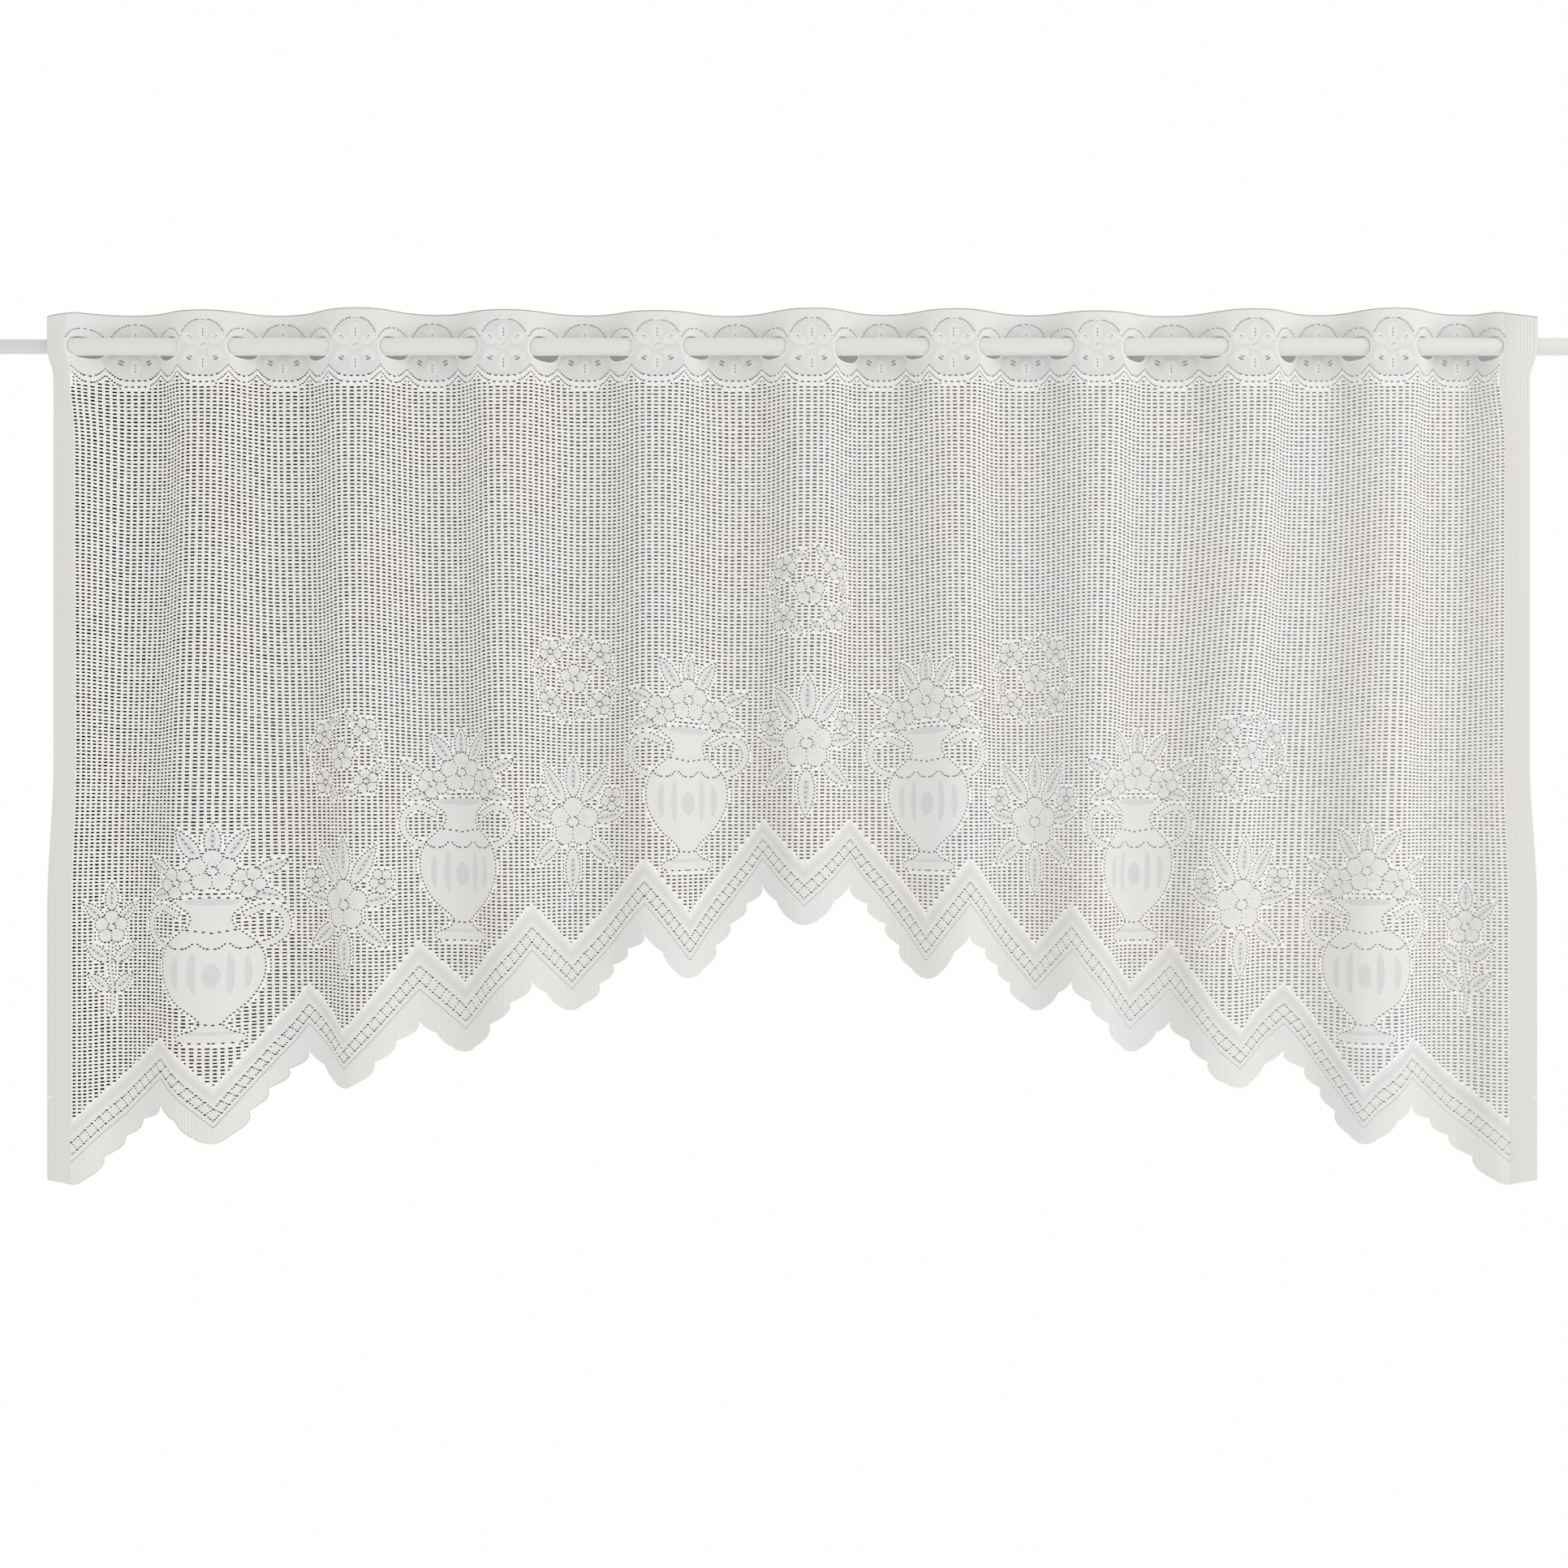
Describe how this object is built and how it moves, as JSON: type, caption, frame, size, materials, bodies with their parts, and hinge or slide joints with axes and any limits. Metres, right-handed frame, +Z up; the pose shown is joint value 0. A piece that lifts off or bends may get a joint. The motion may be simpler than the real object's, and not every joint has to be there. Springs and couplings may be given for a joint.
{
  "type": "lace valance curtain on a telescopic rod",
  "caption": "white lace valance with eyelets in its heading and a stepped, scalloped lower edge, hung in soft folds on a thin telescopic rod",
  "frame": {"origin": "on the rod's axis, midway between its two end faces", "axes": "+X along the rod to the viewer's right, +Y from the room towards the window, +Z up"},
  "size_m": [1.52, 0.0332, 0.8049],
  "materials": {
    "lace": "white knitted lace",
    "rod": "white satin enamel"
  },
  "bodies": {
    "root": {"curtain_cloth": "lace", "heading_strip": "lace", "rod_outer": "rod", "rod_inner": "rod"}
  },
  "joints": []
}
